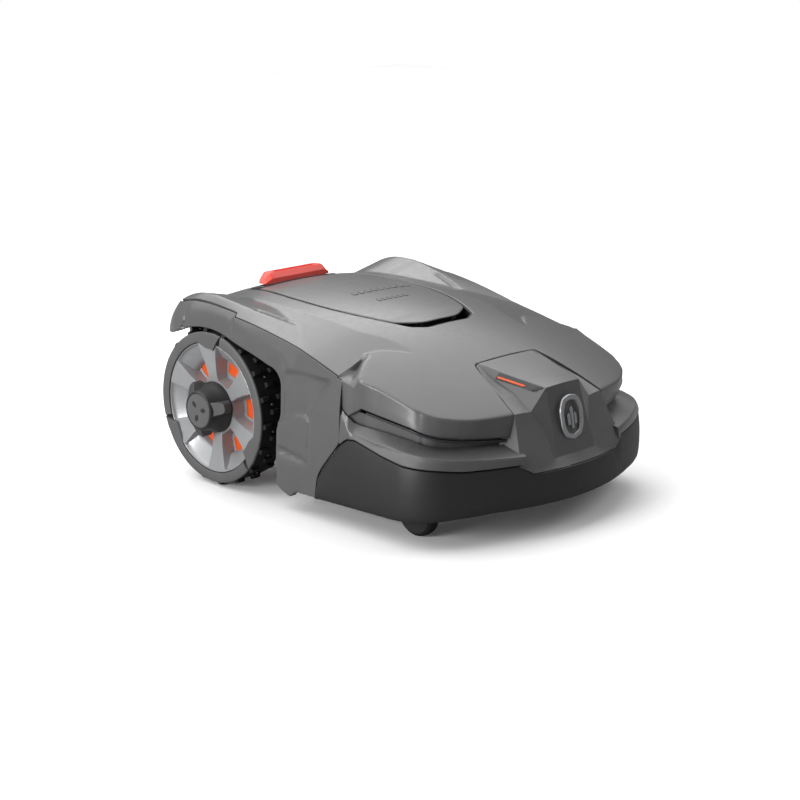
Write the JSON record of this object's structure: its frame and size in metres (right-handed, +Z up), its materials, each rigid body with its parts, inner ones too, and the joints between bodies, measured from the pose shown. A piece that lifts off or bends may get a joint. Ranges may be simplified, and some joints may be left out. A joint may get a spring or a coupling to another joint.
{
  "type": "robotic lawn mower",
  "caption": "Robotic lawn mower with floating cover, bumper, hinged hatch, stop bar, driven rear wheels, swivel front casters and a height adjustable disc of swinging blades.",
  "frame": {"origin": "on the ground under the middle of the machine's bounding box", "axes": "+Z up, -Y the driving direction (front), +X the machine's left side"},
  "size_m": [0.562, 0.698, 0.305],
  "materials": {
    "body_grey": "semi-gloss moulded",
    "dark_grey": "fine grained",
    "black_plastic": "satin",
    "rubber": "matt tread",
    "caster_rubber": "matt",
    "orange": "satin",
    "red": "satin",
    "silver": "silver paint",
    "steel": "brushed",
    "contact_metal": "bright copper alloy",
    "lens": "smoked clear",
    "circuit": "solder mask"
  },
  "bodies": {
    "chassis": {"chassis_tub": "black_plastic", "chassis_lid": "dark_grey", "battery_pack": "dark_grey", "main_board": "circuit", "drive_motor_left": "dark_grey", "drive_motor_right": "dark_grey", "charging_contact_left": "contact_metal", "charging_contact_right": "contact_metal", "float_post_front_left": "caster_rubber", "float_post_front_right": "caster_rubber", "float_post_rear_left": "caster_rubber", "float_post_rear_right": "caster_rubber"},
    "cover_carrier": {"cover_carrier": "dark_grey"},
    "cover": {"hood": "body_grey", "front_fascia": "body_grey", "side_panel_left": "body_grey", "side_panel_right": "body_grey", "rear_panel": "body_grey", "bumper": "black_plastic", "headlight_left": "lens", "headlight_right": "lens", "nose_lamp_left": "lens", "nose_lamp_right": "lens", "badge_plate": "silver", "hatch_tray": "black_plastic", "hatch_pin": "steel", "stop_button_bezel": "black_plastic", "display_panel": "lens"},
    "hatch": {"hatch_cover": "body_grey"},
    "stop_button": {"stop_button": "red"},
    "jog_dial": {"jog_dial": "dark_grey"},
    "power_button": {"power_button": "orange"},
    "cutting_unit": {"cutting_motor": "dark_grey"},
    "height_spindle": {"height_spindle": "steel"},
    "blade_disc": {"blade_disc": "black_plastic"},
    "blade_1": {"blade_1": "steel"},
    "blade_2": {"blade_2": "steel"},
    "blade_3": {"blade_3": "steel"},
    "skid_plate": {"skid_plate": "black_plastic"},
    "wheel_left": {"tyre_left": "rubber", "tyre_ring_left": "dark_grey", "wheel_rim_left": "silver", "rim_accent_left": "orange", "hub_cap_left": "black_plastic", "wheel_hub_left": "dark_grey"},
    "caster_swivel_left": {"caster_fork_left": "black_plastic", "caster_axle_left": "steel"},
    "caster_wheel_left": {"caster_wheel_left": "caster_rubber"},
    "wheel_right": {"tyre_right": "rubber", "tyre_ring_right": "dark_grey", "wheel_rim_right": "silver", "rim_accent_right": "orange", "hub_cap_right": "black_plastic", "wheel_hub_right": "dark_grey"},
    "caster_swivel_right": {"caster_fork_right": "black_plastic", "caster_axle_right": "steel"},
    "caster_wheel_right": {"caster_wheel_right": "caster_rubber"}
  },
  "joints": [
    {"name": "bump_shift", "type": "slide", "parent": "chassis", "child": "cover_carrier", "axis": [0, 1, 0], "range_m": [-0.006, 0.006], "stiffness_N_per_m": 6000},
    {"name": "cover_lift", "type": "slide", "parent": "cover_carrier", "child": "cover", "axis": [0, 0, 1], "range_m": [0, 0.008]},
    {"name": "hatch_hinge", "type": "hinge", "parent": "cover", "child": "hatch", "pos_m": [0, -0.046, 0.264], "axis": [1, 0, 0], "range_deg": [0, 75]},
    {"name": "stop_press", "type": "slide", "parent": "cover", "child": "stop_button", "axis": [0, 0, -1], "range_m": [0, 0.004], "stiffness_N_per_m": 1200, "springref_m": -0.004},
    {"name": "dial_turn", "type": "hinge", "parent": "cover", "child": "jog_dial", "pos_m": [0, 0.095, 0.2413], "axis": [0, 0, 1], "continuous": true},
    {"name": "power_press", "type": "slide", "parent": "cover", "child": "power_button", "axis": [0, 0, -1], "range_m": [0, 0.002], "stiffness_N_per_m": 600, "springref_m": -0.002},
    {"name": "wheel_spin_left", "type": "hinge", "parent": "chassis", "child": "wheel_left", "pos_m": [0.23, 0.2, 0.127], "axis": [1, 0, 0], "continuous": true},
    {"name": "caster_turn_left", "type": "hinge", "parent": "chassis", "child": "caster_swivel_left", "pos_m": [0.194, -0.212, 0.1], "axis": [0, 0, 1], "continuous": true},
    {"name": "caster_spin_left", "type": "hinge", "parent": "caster_swivel_left", "child": "caster_wheel_left", "pos_m": [0.194, -0.2, 0.036], "axis": [1, 0, 0], "continuous": true},
    {"name": "wheel_spin_right", "type": "hinge", "parent": "chassis", "child": "wheel_right", "pos_m": [-0.23, 0.2, 0.127], "axis": [1, 0, 0], "continuous": true},
    {"name": "caster_turn_right", "type": "hinge", "parent": "chassis", "child": "caster_swivel_right", "pos_m": [-0.194, -0.212, 0.1], "axis": [0, 0, 1], "continuous": true},
    {"name": "caster_spin_right", "type": "hinge", "parent": "caster_swivel_right", "child": "caster_wheel_right", "pos_m": [-0.194, -0.2, 0.036], "axis": [1, 0, 0], "continuous": true},
    {"name": "cut_height", "type": "slide", "parent": "chassis", "child": "cutting_unit", "axis": [0, 0, 1], "range_m": [0, 0.03]},
    {"name": "spindle_turn", "type": "hinge", "parent": "chassis", "child": "height_spindle", "pos_m": [0.052, 0.01, 0.13], "axis": [0, 0, 1], "range_deg": [0, 720]},
    {"name": "disc_spin", "type": "hinge", "parent": "cutting_unit", "child": "blade_disc", "pos_m": [0, 0.01, 0.022], "axis": [0, 0, 1], "continuous": true},
    {"name": "blade_swing_1", "type": "hinge", "parent": "blade_disc", "child": "blade_1", "pos_m": [0.074, 0.01, 0.019], "axis": [0, 0, 1], "continuous": true},
    {"name": "blade_swing_2", "type": "hinge", "parent": "blade_disc", "child": "blade_2", "pos_m": [-0.037, 0.07409, 0.019], "axis": [0, 0, 1], "continuous": true},
    {"name": "blade_swing_3", "type": "hinge", "parent": "blade_disc", "child": "blade_3", "pos_m": [-0.037, -0.05409, 0.019], "axis": [0, 0, 1], "continuous": true},
    {"name": "skid_spin", "type": "hinge", "parent": "cutting_unit", "child": "skid_plate", "pos_m": [0, 0.01, 0.015], "axis": [0, 0, 1], "continuous": true}
  ],
  "couplings": [
    {"joint": "spindle_turn", "follows": "cut_height", "rad_per_m": 418.88}
  ]
}
